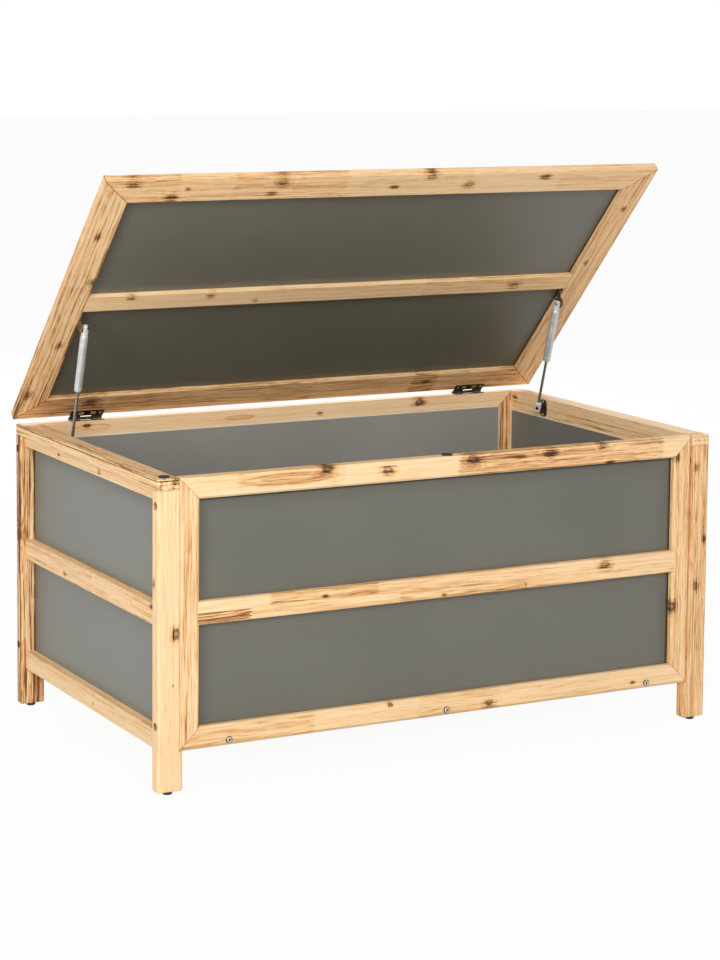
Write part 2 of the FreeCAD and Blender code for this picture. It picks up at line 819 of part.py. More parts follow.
# Struts
strut_pieces = {"strut_rod_end": right_rod_end(), "strut_rod": right_rod(), "strut_tube": right_tube(),
                "strut_tube_end": right_tube_end(), "strut_lid_stud": right_lid_stud()}
for name, piece in strut_pieces.items():
    export("right_" + name, piece)
    export("left_" + name, mirror_x(piece))
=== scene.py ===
# %% [markdown]
# # An outdoor storage chest with a lid on gas struts
# The chest is a knotty hardwood frame that holds flat coated metal sheets. Its lid is framed the same way,
# turns on two small hinges at the back and is held half open by two gas struts. The boards, sheets, hinges,
# brackets and strut rods come from the packed model with their true shapes. This lesson gives them their
# finishes, adds the sheets as they look from inside, turns the small round pieces and the strut tubes and
# ends more finely, and sets up the light and the camera.

# %% Load the packed model
import json
import math
import random

import bpy
from mathutils import Matrix, Vector


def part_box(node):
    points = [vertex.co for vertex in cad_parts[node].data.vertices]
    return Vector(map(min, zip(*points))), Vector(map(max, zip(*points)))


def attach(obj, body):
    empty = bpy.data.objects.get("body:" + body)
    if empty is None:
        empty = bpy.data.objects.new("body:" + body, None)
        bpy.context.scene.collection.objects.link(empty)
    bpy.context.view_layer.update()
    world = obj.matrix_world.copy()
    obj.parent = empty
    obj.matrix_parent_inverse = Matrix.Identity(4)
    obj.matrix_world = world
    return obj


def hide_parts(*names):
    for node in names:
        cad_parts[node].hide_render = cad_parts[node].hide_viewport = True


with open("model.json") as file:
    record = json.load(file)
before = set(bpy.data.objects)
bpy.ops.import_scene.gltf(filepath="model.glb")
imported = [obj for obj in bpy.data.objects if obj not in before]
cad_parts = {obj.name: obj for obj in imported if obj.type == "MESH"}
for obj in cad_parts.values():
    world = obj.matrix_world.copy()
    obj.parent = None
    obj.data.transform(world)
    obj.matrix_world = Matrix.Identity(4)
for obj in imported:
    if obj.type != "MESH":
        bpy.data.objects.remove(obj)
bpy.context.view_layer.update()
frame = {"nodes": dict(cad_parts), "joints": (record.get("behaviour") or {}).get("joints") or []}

nodes = frame["nodes"]
mm = 0.001

# %% [markdown]
# ## Sums in the shader
# A finish is easier to read as a sum than as a picture of wires. One small class holds an output of the node
# tree. Adding or multiplying two of them adds a Math node, and one method adds any other node.

# %% A tone that takes part in sums
# A Mix node has sockets for each kind of value. These are the places of its colours.
mix_first = 6
mix_second = 7
mix_result = 2
# A Vector Math node gives a vector first and a plain number second.
number_result = 1


class Tone:
    """One output of a node tree."""

    def __init__(self, tree, output):
        self.tree = tree
        self.output = output

    def node(self, kind, settings, sockets, output=0):
        """Add a node: its settings first, then the values or links of its sockets."""
        made = self.tree.nodes.new(kind)
        for name, value in settings.items():
            if name == "stops":
                set_stops(made.color_ramp, value)
            elif name == "interpolation":
                made.color_ramp.interpolation = value
            else:
                setattr(made, name, value)
        for name, value in sockets.items():
            feed(self.tree, made.inputs[name], value)
        return Tone(self.tree, made.outputs[output])

    def maths(self, operation, *values):
        """The result of a Math node."""
        return self.node("ShaderNodeMath", {"operation": operation}, dict(enumerate(values)))

    def __add__(self, other):
        return self.maths("ADD", self, other)

    __radd__ = __add__

    def __sub__(self, other):
        return self.maths("SUBTRACT", self, other)

    def __rsub__(self, other):
        return self.maths("SUBTRACT", other, self)

    def __mul__(self, other):
        return self.maths("MULTIPLY", self, other)

    __rmul__ = __mul__

    def __abs__(self):
        return self.maths("ABSOLUTE", self)

    def smaller(self, other):
        """The smaller of two tones at each point."""
        return self.maths("MINIMUM", self, other)

    def larger(self, other):
        """The larger of two tones at each point."""
        return self.maths("MAXIMUM", self, other)

    def rise(self, low, high):
        """0 below low, 1 above high, and a soft step between them."""
        sockets = {"Value": self, "From Min": low, "From Max": high}
        return self.node("ShaderNodeMapRange", {"interpolation_type": "SMOOTHSTEP"}, sockets)

    def moved(self, operation, by, output=0):
        """A vector changed by another vector."""
        return self.node("ShaderNodeVectorMath", {"operation": operation}, {0: self, 1: by}, output)

    def distance(self, middle, reach):
        """Distance from a place, counted in its reach along each axis."""
        offset = self.moved("SUBTRACT", middle).moved("DIVIDE", reach)
        return offset.moved("LENGTH", (0, 0, 0), number_result)

    def axis(self, place):
        """One part of a vector."""
        return self.node("ShaderNodeSeparateXYZ", {}, {0: self}, place)

    def noise(self, stretch, detail=2.0, roughness=0.5):
        """Soft noise that repeats about stretch times per metre on each axis."""
        sockets = {"Vector": self.moved("MULTIPLY", stretch), "Scale": 1.0, "Detail": detail,
                   "Roughness": roughness}
        return self.node("ShaderNodeTexNoise", {}, sockets)

    def colours(self, stops, interpolation="LINEAR"):
        """The colour of a ramp at this tone."""
        return self.node("ShaderNodeValToRGB", {"interpolation": interpolation, "stops": stops}, {0: self})

    def mix(self, first, second):
        """The first colour where this tone is 0, the second where it is 1."""
        sockets = {0: self, mix_first: first, mix_second: second}
        return self.node("ShaderNodeMix", {"data_type": "RGBA"}, sockets, mix_result)

    def bump(self, strength, distance):
        """A normal that leans as if this tone were the height of the surface."""
        sockets = {"Height": self, "Strength": strength, "Distance": distance}
        return self.node("ShaderNodeBump", {}, sockets)


print("a tone can:", [name for name in vars(Tone) if not name.startswith("_")])


# %% Links and colour stops
def feed(tree, socket, value):
    """Link a tone to a socket, or set a plain value on it."""
    if isinstance(value, Tone):
        tree.links.new(value.output, socket)
    else:
        socket.default_value = value


def set_stops(ramp, stops):
    """Replace a colour ramp's stops by pairs of place and colour."""
    while len(ramp.elements) > 1:
        ramp.elements.remove(ramp.elements[-1])
    ramp.elements[0].position = stops[0][0]
    ramp.elements[0].color = stops[0][1]
    for place, colour in stops[1:]:
        ramp.elements.new(place).color = colour


def even(times):
    """The same stretch of a noise on every axis."""
    return (times, times, times)


print("an even stretch:", even(3))

# %% [markdown]
# ## Materials and colours
# A finish on the real chest is a colour, a gloss and a skin, and each changes a little from place to place.
# A picture wrapped round every piece could hold them, but it blurs close up and needs unwrapped surfaces. So
# each finish here is worked out from a point's place on the part. One function makes a material and feeds
# its shader. Colours are written as a screen shows them, since that is how they are judged.

# %% Colours and materials
screen_levels = 255
dark_end = 0.04045
dark_slope = 12.92
curve_lift = 0.055
curve_power = 2.4


def light_of(level):
    """The light of a screen level from 0 to 1: straight in the darks and a power curve above."""
    if level < dark_end:
        return level / dark_slope
    return ((level + curve_lift) / (1 + curve_lift)) ** curve_power


def screen(red, green, blue):
    """A colour as a screen shows it, turned into the light values that shaders use."""
    return (*(light_of(level / screen_levels) for level in (red, green, blue)), 1.0)


def new_finish(name, pattern, **steady):
    """A material whose pattern function returns what its shader's sockets get."""
    material = bpy.data.materials.new(name)
    material.use_nodes = True
    tree = material.node_tree
    shader = tree.nodes["Principled BSDF"]
    places = Tone(tree, tree.nodes.new("ShaderNodeTexCoord").outputs["Object"])
    for socket, value in pattern(places).items():
        feed(tree, shader.inputs[socket], value)
    for socket, value in steady.items():
        shader.inputs[socket.replace("_", " ")].default_value = value
    return material


def dress(node, material):
    """Give a node of the packed model its finish."""
    for slot in nodes[node].material_slots:
        slot.material = material


print("light value of a middle grey:", round(screen(128, 128, 128)[0], 3))

# %% [markdown]
# ## Hardwood
# The boards are glued up from short blocks: each block has its own tone, from cream sapwood to brown
# heartwood, and blocks meet end to end in small wedge-shaped fingers. Two boards have a second row of blocks
# under the first. Grain runs along the board, and knots interrupt it with a dark core and a brown halo. One
# material for all boards would show the same knots on each, so every board gets its own, built by one
# function from its direction, its blocks and its knots. The first thing to settle is which way a board runs.

# %% The direction of each board
lid_joint = next(joint for joint in frame["joints"] if joint["name"] == "lid_hinge")
lid_angle = math.radians(-lid_joint["range_deg"][0])
axis_x, axis_y, axis_z = Matrix.Identity(3)
lid_slope = Vector((0, -math.cos(lid_angle), math.sin(lid_angle)))


def board_axes(node):
    """Along the grain and across the face of a board."""
    if node in ("lid_left_stile", "lid_right_stile"):
        return lid_slope, axis_x
    if node.startswith("lid_"):
        return axis_x, lid_slope
    if "leg" in node or "stile" in node:
        return axis_z, axis_x
    if "side" in node or "cap" in node or node == "floor_bearers":
        return axis_y, axis_z
    return axis_x, axis_z


def board_frame(node):
    """Middle, turn and half sizes of a board, measured in its own directions."""
    along, across = board_axes(node)
    turn = Matrix((along, across, along.cross(across))).transposed()
    low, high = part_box(node)
    middle = (low + high) / 2
    local = [turn.transposed() @ (vertex.co - middle) for vertex in nodes[node].data.vertices]
    half = [max(abs(point[place]) for point in local) for place in range(3)]
    return middle, turn.to_euler(), half


def own_places(places, middle, turn):
    """Places measured from a board's middle in its own directions."""
    sockets = {"Vector": places, "Location": middle, "Rotation": turn}
    return places.node("ShaderNodeMapping", {"vector_type": "TEXTURE"}, sockets)


print("front top rail, half sizes:", [round(size, 4) for size in board_frame("front_top_rail")[2]])

# %% [markdown]
# ## Blocks and knots
# A joiner glues the blocks up as they come, so tones and knots follow no rule. Random numbers give a likely
# board, but a board that is seen close up has a face of its own. So each board in view lists its blocks,
# knots and flames by their places from the board's middle. Only the boards out of view are left to chance,
# with a fixed seed, so that they come out the same each time.

# %% Boards in view
# Blocks are pairs of start, in millimetres from the board's middle, and brownness from 0 to 1.
# A board of two rows has its own blocks in the lower row.
# Knots are along, across and size in millimetres, with a depth where only one face shows it.
# Flames are along, across, half length and half width. Streaks above 1 make the grain stronger, and a groove
# shade is a dark line at that height across the board: painted shade along a groove.
boards = {
    "front_top_rail": {
        "blocks": [(-564, 0.08), (-440, 0.2), (-340, 0.24), (-220, 0.02), (26, 0.55), (218, 0.5),
                   (490, 0.04)],
        "knots": [(-259, 15, 6), (-132, 4, 6), (52, 10, 7), (225, 11, 5), (345, 18, 4), (364, -18, 3)],
        "flames": [(-340, 3, 95, 11), (-330, 3, 60, 6), (110, 8, 60, 7)],
    },
    "front_mid_rail": {
        "blocks": [(-527, 0.05), (-372, 0.5), (-150, 0.3), (248, 0.15)],
        "lower": [(-527, 0.85), (-413, 0.2), (-100, 0.5), (180, 0.3)],
        "knots": [(-262, 8, 2), (355, 9, 6), (173, -12, 1), (-8, -15, 2)],
    },
    "front_bottom_rail": {
        "blocks": [(-564, 0.35), (-282, 0.1), (-60, 0.3), (120, 0.15), (376, 0.08)],
        "knots": [(-123, 14, 3), (95, -6, 5), (426, -5, 2)],
    },
    "front_left_stile": {"blocks": [(-250, 0.33)], "streaks": 1.3, "knots": []},
    "front_right_stile": {"blocks": [(-250, 0.35), (90, 0.45)], "knots": [(-92, -19, 5), (212, -14, 4)]},
    "front_left_leg": {
        "blocks": [(-276, 0.08)],
        "knots": [(14, 11, 6, -13), (106, -24, 4, 3), (-80, 5, 1, -13)],
    },
    "front_right_leg": {
        "blocks": [(-276, 0.6), (130, 0.65)],
        "streaks": 0.8,
        "knots": [(233, -6, 3, -13), (86, 18, 3, -13), (-7, 0, 4, -13)],
    },
    "back_left_leg": {
        "blocks": [(-276, 0.58)],
        "streaks": 2.0,
        "knots": [(70, -24, 5, 0), (-209, 20, 5, -13)],
    },
    "left_cap_rail": {
        "blocks": [(-361, 0.45), (-353, 0.14)],
        "streaks": 2.0,
        # A dark line along the cap's thin groove near its top: painted shade.
        "seam": 7,
        "knots": [(-356, 4, 4, 14)],
    },
    "left_side_top_rail": {"blocks": [(-316, 0.1)], "knots": [(146, 0, 2), (-59, 0, 3)]},
    "left_side_mid_rail": {"blocks": [(-316, 0.18)], "streaks": 1.3, "knots": [(116, -9, 3), (-305, 14, 3)]},
    "left_side_bottom_rail": {"blocks": [(-316, 0.25)], "lower": [(-316, 0.08)], "knots": [(-28, -4, 2)]},
    "right_cap_rail": {
        "blocks": [(-361, 0.4), (-353, 0.02)],
        "streaks": 1.2,
        "knots": [(318, 0, 4), (-335, 2, 5)],
    },
    "right_side_top_rail": {"blocks": [(-316, 0.14)], "streaks": 1.5, "knots": [(-300, 5, 5)]},
    "back_right_stile": {"blocks": [(-250, 0.72)], "streaks": 1.2, "knots": []},
    "back_top_rail": {
        "blocks": [(-564, 0.0), (-300, 0.06), (40, 0.0), (300, 0.08)],
        "knots": [(-455, 9, 3), (80, 0, 3), (324, 10, 6)],
        "flames": [(-110, 4, 36, 5), (-440, 6, 40, 6)],
    },
    "lid_front_rail": {
        "blocks": [(-610, 0.45), (-453, 0.26), (-340, 0.4), (-101, 0.22), (180, 0.1), (381, 0.24)],
        "knots": [(-553, 18, 5), (-464, -17, 5), (-438, 5, 2), (-245, 17, 6), (-258, -14, 4), (4, -4, 4),
                  (174, -2, 6), (79, 24, 5), (344, 15, 5)],
    },
    "lid_mid_rail": {
        "blocks": [(-552, 0.04), (-185, 0.14), (200, 0.28)],
        "knots": [(-460, 14, 4), (-289, 10, 4), (-185, -10, 3), (417, 0, 6)],
    },
    "lid_back_rail": {
        "blocks": [(-610, 0.7), (-420, 0.52), (60, 0.4), (300, 0.75), (360, 0.42), (470, 0.6)],
        "knots": [(-453, 12, 6), (330, 5, 4)],
    },
    "lid_left_stile": {
        "blocks": [(-357, 0.34), (60, 0.2)],
        "streaks": 1.7,
        "knots": [(199, -1, 4), (68, 21, 4), (-121, 9, 4), (-274, -15, 5)],
    },
    "lid_right_stile": {
        "blocks": [(-357, 0.5), (50, 0.4)],
        "streaks": 0.9,
        "knots": [(232, 1, 3), (63, -14, 3)],
    },
}
print("boards in view:", len(boards))

# %% Boards out of view
hidden_boards = [
    "back_right_leg", "right_side_mid_rail", "right_side_bottom_rail", "back_mid_rail", "back_bottom_rail",
    "back_left_stile", "floor_bearers",
]
hidden_seed = 7
block_joints = ((-0.5, 0), (0.1, 0.6))
block_browns = (0.05, 0.7)
knots_per_board = 3
knot_places = (-0.9, 0.9)
knot_heights = (-15, 15)
knot_sizes = (3, 6)
chance = random.Random(hidden_seed)
for node in hidden_boards:
    reach = round(board_frame(node)[2][0] / mm)
    starts = [-reach] + [round(chance.uniform(*joint) * reach) for joint in block_joints]
    boards[node] = {
        "blocks": [(start, round(chance.uniform(*block_browns), 2)) for start in starts],
        "knots": [(round(chance.uniform(*knot_places) * reach), round(chance.uniform(*knot_heights)),
                   round(chance.uniform(*knot_sizes))) for _ in range(knots_per_board)],
    }
print("boards:", len(boards), "knots:", sum(len(board["knots"]) for board in boards.values()))

# %% [markdown]
# ## Wood grain
# Grain is what the saw leaves of a tree's growth rings: dark and pale lines that wander along the board,
# with fine hairs and pores between them. Knots push the rings aside, and a ring cut along its crown leaves a
# flame. Here the rings are the contour lines of a long, soft noise, and noises stretched along the board
# give the rest. All of them add up to one number, the shade of the wood, and a ramp turns it into colour.

# %% Rows of blocks
finger_width = 7 * mm
finger_length = 9 * mm
row_joint = 0.3 * mm


def block_row(share, blocks, half_length, chance):
    """Brownness of each block in a row, and where in the tree it was cut, as the three parts of a colour."""
    stops = []
    for start, brown in blocks:
        place = (start * mm + half_length) / (2 * half_length)
        stops.append((min(max(place, 0.0), 1.0), (brown, chance.random(), chance.random(), 1.0)))
    return share.colours(stops, "CONSTANT")


def block_rows(along, across, board, half_length, chance):
    """All blocks of a board, with fingers where two of them meet."""
    fingers = across.maths("PINGPONG", across, finger_width / 2) * (2 * finger_length / finger_width)
    share = (along + fingers + half_length) * (0.5 / half_length)
    row = block_row(share, board["blocks"], half_length, chance)
    if "lower" in board:
        lower = block_row(share, board["lower"], half_length, chance)
        row = across.rise(-row_joint, row_joint).mix(lower, row)
    return row


print("boards with two rows:", [node for node in boards if "lower" in boards[node]])

# %% Knots and flames
# A noise is its stretch along, across and through the board, its detail and its roughness. A pair such as
# flame_end is where a soft step starts and where it ends.
noise_middle = 0.5
knot_growth = 1.15
knot_length = 1.5
all_through = 0.2
ragged_noise = ((90, 220, 220), 3.0, 0.65)
ragged_reach = 1.9
flame_tone = 0.3
flame_wobble = 0.9
flame_heart = 0.35
flame_ring = (0.5, 0.95)
flame_end = (0.95, 1.2)


def knot_distance(grain, seeded, knots):
    """Distance from the nearest knot, in knot sizes, with a ragged outline."""
    nearest = None
    for along, across, size, *depth in knots:
        size = size * knot_growth
        middle = (along * mm, across * mm, depth[0] * mm if depth else 0.0)
        through = size * mm if depth else all_through
        distance = grain.distance(middle, (knot_length * size * mm, size * mm, through))
        nearest = distance if nearest is None else nearest.smaller(distance)
    return nearest + (seeded.noise(*ragged_noise) - noise_middle) * ragged_reach


def with_flames(shade, grain, line, flames):
    """Darken the wood in rings round the crowns of its flames."""
    for along, across, length, width in flames:
        from_crown = grain.distance((along * mm, across * mm, 0), (length * mm, width * mm, 1))
        from_crown = from_crown + (line - noise_middle) * flame_wobble
        ring = flame_heart + (1 - flame_heart) * from_crown.rise(*flame_ring)
        shade = shade + flame_tone * (1 - from_crown.rise(*flame_end)) * ring
    return shade


largest_knot = max(knot[2] for board in boards.values() for knot in board["knots"])
print("largest knot, half width:", round(largest_knot * knot_growth, 1), "mm")

# %% Rings and fibres
growth_rings = 11
early_wood = 0.15
late_wood = 0.85
wander_noise = ((5, 14, 14), 3.0)
wander_reach = 0.014
streak_noise = ((2.4, 70, 70), 4.0, 0.7)
streak_limits = (0.44, 0.66)
line_noise = ((4.5, 210, 210), 3.0, 0.7)
fine_limits = (0.46, 0.6)
hair_noise = ((16, 700, 700), 2.0, 0.6)
pore_noise = ((30, 520, 520), 1.0)
pore_limits = (0.58, 0.68)


def dark_rings(figure):
    """1 in the late, dark wood of each growth ring: a slow rise and a sharp end."""
    ring = figure.maths("FRACT", figure * growth_rings)
    return ring.rise(early_wood, late_wood) - ring.rise(late_wood, 1.0)


def wood_fibres(seeded):
    """Streaks, lines, hairs and pores, which wander together along the grain."""
    wander = (seeded.noise(*wander_noise) - noise_middle) * wander_reach
    fibre = seeded.moved("ADD", seeded.node("ShaderNodeCombineXYZ", {}, {1: wander}))
    streak = fibre.noise(*streak_noise).rise(*streak_limits)
    line = fibre.noise(*line_noise)
    hair = fibre.noise(*hair_noise)
    pores = fibre.noise(*pore_noise).rise(*pore_limits)
    return streak, line, hair, pores


print("hairs are about", round(1 / hair_noise[0][1] / mm, 1), "mm apart")

# %% [markdown]
# ## Edges and joints of the boards
# The long edges of a board are a little darker: dirt settles where boards meet, and the shade of the gaps
# between them is painted there too. On the real chest the corners of each frame are mitred, the left cap
# rail has a thin groove near its top, and the bolts of the legs sit in round pockets; the shade in that
# groove and in the pockets is painted. These dark lines could be cut as thin grooves, but they are finer
# than a mesh needs to be. So they are added to the shade of the wood by distance from the edge, and follow
# each board.

# %% Edges, seams, mitres and pockets
# Long edges darken with dirt and with painted shade of the gaps between boards.
edge_dirt_and_shade_tone = 0.26
edge_dirt_and_shade_width = (0.5 * mm, 1.8 * mm)
# A painted shade line along a groove, at the height that a board lists.
seam_tone = 0.7
seam_width = (0.5 * mm, 1.3 * mm)
mitre_tone = 0.55
mitre_width = (0.1 * mm, 1.2 * mm)
mitre_sides = {"top_rail": 1, "bottom_rail": -1, "left_stile": -1, "right_stile": 1, "lid_front_rail": 1,
               "lid_back_rail": -1}
# The axes of the bolt pockets lie at these heights, and at this distance from the middle of the chest.
# The inside of each bolt pocket is darkened: painted shade.
pocket_shade_tone = 0.5
pocket_radius = 7.5 * mm
pocket_rim = 0.4 * mm
pocket_heights = (128 * mm, 531 * mm)
pocket_line = 344.5 * mm


def mitre_side(node):
    """Which long edge of a mitred board is its outer one: 1, -1, or 0 for a square-ended board."""
    for ending, side in mitre_sides.items():
        if node.endswith(ending) and "side" not in node:
            return side
    return 0


def in_pockets(along, through, middle):
    """1 inside the round pockets of a leg, whose bolts run across it."""
    inside = 0
    for rise in pocket_heights:
        height = along - (rise - middle.z)
        depth = through - (math.copysign(pocket_line, middle.y) - middle.y)
        distance = height.maths("SQRT", height * height + depth * depth)
        inside = inside + (1 - distance.rise(pocket_radius, pocket_radius + pocket_rim))
    return inside


def with_edges(shade, node, spot, middle, half):
    """Darken a board at its long edges (dirt and painted shade), along a groove and in its bolt pockets
    (painted shade), and at its mitres.
    """
    along, across, through = spot
    inward = (half[1] - abs(across)).larger(half[2] - abs(through))
    shade = shade + edge_dirt_and_shade_tone * (1 - inward.rise(*edge_dirt_and_shade_width))
    if "seam" in boards[node]:
        offset = across - boards[node]["seam"] * mm
        shade = shade + seam_tone * (1 - abs(offset).rise(*seam_width))
    if node.endswith("leg"):
        shade = shade + pocket_shade_tone * in_pockets(along, through, middle)
    side = mitre_side(node)
    if side:
        gap = half[0] - half[1] - abs(along) + side * across
        shade = shade + mitre_tone * (1 - gap.rise(*mitre_width))
    return shade


print("mitred boards:", sum(mitre_side(node) != 0 for node in boards))

# %% [markdown]
# ## The finished boards
# A planed and oiled board is silky, with a soft gloss that the fibres break up. The shade adds blocks,
# rings and fibres, each with a weight of its own, and brown blocks have the stronger grain. The same
# fibres drive roughness and bump, so colour and relief agree, and knots are laid over them last.

# %% Weights of the grain
wood_stops = [
    (0.0, screen(250, 218, 175)),
    (0.25, screen(244, 203, 151)),
    (0.5, screen(222, 170, 113)),
    (0.75, screen(168, 115, 66)),
    (1.0, screen(98, 63, 38)),
]
knot_dark = screen(58, 38, 24)
seed_reach = 9
ring_noise = ((3.2, 24, 24), 2.0, 0.5)
knot_pull = 0.2
knot_pull_limits = (0.4, 4.5)
pale_tone = 0.06
block_tone = 0.34
ring_tone = 0.05
pore_tone = 0.1
brown_pore_tone = 0.22
strong_streak_tone = 0.3
brown_streak_tone = 0.28
brown_ring_tone = 0.12
brown_fine_tone = 0.2
line_tone = 0.5
brown_line_tone = 0.7
hair_tone = 0.5
brown_hair_tone = 0.6
line_relief = 0.6
hair_relief = 0.5
ring_relief = 0.2
print("wood colours:", len(wood_stops))


# %% Shade of the grain
def grain_shade(brown, late, fibres, strength):
    """The shade of plain wood, without knots and edges."""
    streak, line, fine, hair, pores = fibres
    shade = pale_tone + brown * block_tone + (late + fine) * (ring_tone * strength)
    shade = shade + pores * (pore_tone + brown_pore_tone * brown)
    shade = shade + max(0, strength - 1) * strong_streak_tone * streak * fine
    brown_grain = brown_streak_tone * streak + brown_ring_tone * late + brown_fine_tone * fine
    shade = shade + strength * brown * brown_grain
    shade = shade + strength * (line - noise_middle) * (line_tone + brown_line_tone * brown)
    return shade + (hair - noise_middle) * (hair_tone + brown_hair_tone * brown)


print("shade of the palest wood:", pale_tone)

# %% Halo and bark of a knot
halo_tone = 0.55
halo_limits = (0.8, 2.8)
halo_base = 0.4
broken_base = 0.45
core_base = 0.5
core_limits = (0.1, 0.7)
bark_limits = (0.7, 1.35)
bark_relief = 0.6


def knot_marks(ragged, streak, fine):
    """The brown halo round the knots of a board, and their dark, broken bark."""
    halo = (1 - ragged.rise(*halo_limits)) * (halo_base + (1 - halo_base) * fine)
    broken = broken_base + (1 - broken_base) * streak.larger(fine)
    core = core_base + (1 - core_base) * ragged.rise(*core_limits)
    bark = core * (1 - ragged.rise(*bark_limits)) * broken
    return halo, bark


print("halo reaches", halo_limits[1], "knot sizes")

# %% The hardwood finish
wood_roughness = 0.52
line_roughness = 0.2
wood_bump = 0.4
grain_depth = 0.8 * mm
wood_gloss = 0.3


def hardwood(node):
    """The finish of one board."""
    middle, turn, half = board_frame(node)
    board = boards[node]
    chance = random.Random(node)
    seed = [chance.uniform(-seed_reach, seed_reach) for _ in range(3)]

    def pattern(places):
        grain = own_places(places, middle, turn)
        spot = [grain.axis(place) for place in range(3)]
        seeded = grain.moved("ADD", seed)
        row = block_rows(spot[0], spot[1], board, half[0], chance)
        brown = row.node("ShaderNodeSeparateColor", {}, {0: row})
        streak, line, hair, pores = wood_fibres(seeded)
        fine = line.rise(*fine_limits)

        # Growth rings, drawn in around knots
        figure = seeded.moved("ADD", row).noise(*ring_noise)
        if board["knots"]:
            ragged = knot_distance(grain, seeded, board["knots"])
            figure = figure + (1 - ragged.rise(*knot_pull_limits)) * knot_pull
        late = dark_rings(figure)

        shade = grain_shade(brown, late, (streak, line, fine, hair, pores), board.get("streaks", 1.0))
        shade = with_flames(shade, grain, line, board.get("flames", []))
        shade = with_edges(shade, node, spot, middle, half)
        relief = line * line_relief + hair * hair_relief - late * ring_relief
        if board["knots"]:
            halo, bark = knot_marks(ragged, streak, fine)
            relief = relief - bark * bark_relief
            colour = bark.mix((shade + halo * halo_tone).colours(wood_stops), knot_dark)
        else:
            colour = shade.colours(wood_stops)
        return {"Base Color": colour, "Roughness": wood_roughness + line * line_roughness,
                "Normal": relief.bump(wood_bump, grain_depth)}

    return new_finish("hardwood_" + node, pattern, Specular_IOR_Level=wood_gloss)


for node in boards:
    dress(node, hardwood(node))
print("hardwood finishes:", len(boards))

# %% [markdown]
# ## Coated sheets
# The fillings are thin metal sheets with a satin grey coating. Seen close, such a coating is not even: it
# has faint clouds and a fine orange-peel skin that breaks up reflections. A broad noise shifts colour and
# gloss a little, and two finer ones drive the bump. Where a sheet leaves the groove of its frame, it lies in
# shadow.

# %% The shadow of the groove
# The groove's shadow, a dark line and a wider soft shade beside it, is painted into the coating's colour.
groove_depth = 8 * mm
groove_tone = 0.8
groove_width = (2 * mm, 6 * mm)
soft_shade_tone = 0.22
soft_shade_width = (2 * mm, 36 * mm)


def groove_shadow(places, node):
    """Shadow at the upper and side edges of a sheet, where it leaves the groove of its frame."""
    middle, turn, half = board_frame(node)
    own = own_places(places, middle, turn)
    along, across = own.axis(0), own.axis(1)
    border = (half[0] - groove_depth - abs(along)).smaller(half[1] - groove_depth - across)
    return groove_tone * (1 - border.rise(*groove_width)) + soft_shade_tone * (1 - border.rise(*soft_shade_width))


panels = [node for node in nodes if node.endswith("_panel")]
print("panels in grooves:", panels)

# %% The sheet finish
cloud_noise = (even(3), 3.0)
cloud_limits = (0.3, 0.7)
speck_noise = (even(700), 1.0)
cloud_share = 0.75
fine_peel = (even(260), 2.0)
broad_peel = (even(50), 2.0)
broad_share = 2
cloud_dark = 0.87
groove_dark = 0.15
sheet_roughness = 0.36
cloud_roughness = 0.06
speck_roughness = 0.05
peel_bump = 0.15
peel_depth = 0.6 * mm
sheet_gloss = 0.5


def darker(colour, share):
    """A share of a colour's light."""
    return (*(level * share for level in colour[:3]), 1.0)


def coated_sheet(name, colour, node=None):
    """Satin coating with faint clouds of a darker tone, and a groove's shadow where a node is named."""

    def pattern(places):
        cloud = places.noise(*cloud_noise).rise(*cloud_limits)
        speck = places.noise(*speck_noise)
        skin = places.noise(*fine_peel) + broad_share * places.noise(*broad_peel)
        pale = cloud * cloud_share + speck * (1 - cloud_share)
        tint = pale.mix(darker(colour, cloud_dark), colour)
        if node:
            tint = groove_shadow(places, node).mix(tint, darker(colour, groove_dark))
        roughness = sheet_roughness + cloud * cloud_roughness + speck * speck_roughness
        return {"Base Color": tint, "Roughness": roughness, "Normal": skin.bump(peel_bump, peel_depth)}

    return new_finish(name, pattern, Specular_IOR_Level=sheet_gloss)


# The coating's grey, then paler copies of it for the side panels and the lid's front panel: painted light.
wall_grey = screen(106, 105, 94)
side_grey_painted_light = screen(125, 126, 118)
lid_grey_painted_light = screen(113, 111, 100)


def panel_grey(node):
    """The sheets share one coating: the side panels get the palest copy of its grey, painted light and
    reflection, and the lid's front panel a paler one, painted light.
    """
    if "side" in node:
        return side_grey_painted_light
    if node == "lid_front_panel":
        return lid_grey_painted_light
    return wall_grey


for node in panels:
    dress(node, coated_sheet("sheet_" + node, panel_grey(node), node))
# The inner sheets take the same coating in other greys: a pale copy at the front and back, painted light for
# the shaded inside, and a darker one at the sides, painted shade where the key lamp reaches more.
inner_sheet = coated_sheet("light_grey_sheet", screen(152, 152, 145))
side_inner_sheet = coated_sheet("side_inner_sheet", screen(124, 122, 113))
# A near-white coating for the rims of the inner sheets: a painted highlight where the fold catches the
# light.
rim_highlight_sheet = coated_sheet("sheet_edge", screen(226, 224, 216))
print("sheets dressed:", len(panels))

# %% [markdown]
# ## Metal, plastic and rubber
# The hinges, leg bolts and brackets are steel with a dark bronze coat that rubs off on high spots, most of
# all on the upper strut brackets. The screws are zinc plated. The strut tubes are painted silver grey, their
# rods are polished steel and their ends are grey plastic. Each of these gets a quiet pattern of its own, so
# that none is a flat colour, and one function with a few settings is enough for all of them.

# %% Small finishes
patch_detail = 3.0
patch_limits = (0.35, 0.75)
skin_fineness = 8
skin_detail = 2.0
patch_roughness = 0.1
skin_roughness = 0.08
skin_depth = 0.2 * mm


def patchy(name, colour, worn, scale, gloss, metal, relief):
    """A finish between two colours in patches, with a fine grainy skin."""

    def pattern(places):
        patch = places.noise(even(scale), patch_detail).rise(*patch_limits)
        skin = places.noise(even(scale * skin_fineness), skin_detail)
        roughness = gloss + patch * patch_roughness + skin * skin_roughness
        return {"Base Color": patch.mix(colour, worn), "Roughness": roughness,
                "Normal": skin.bump(relief, skin_depth)}

    return new_finish(name, pattern, Metallic=metal)
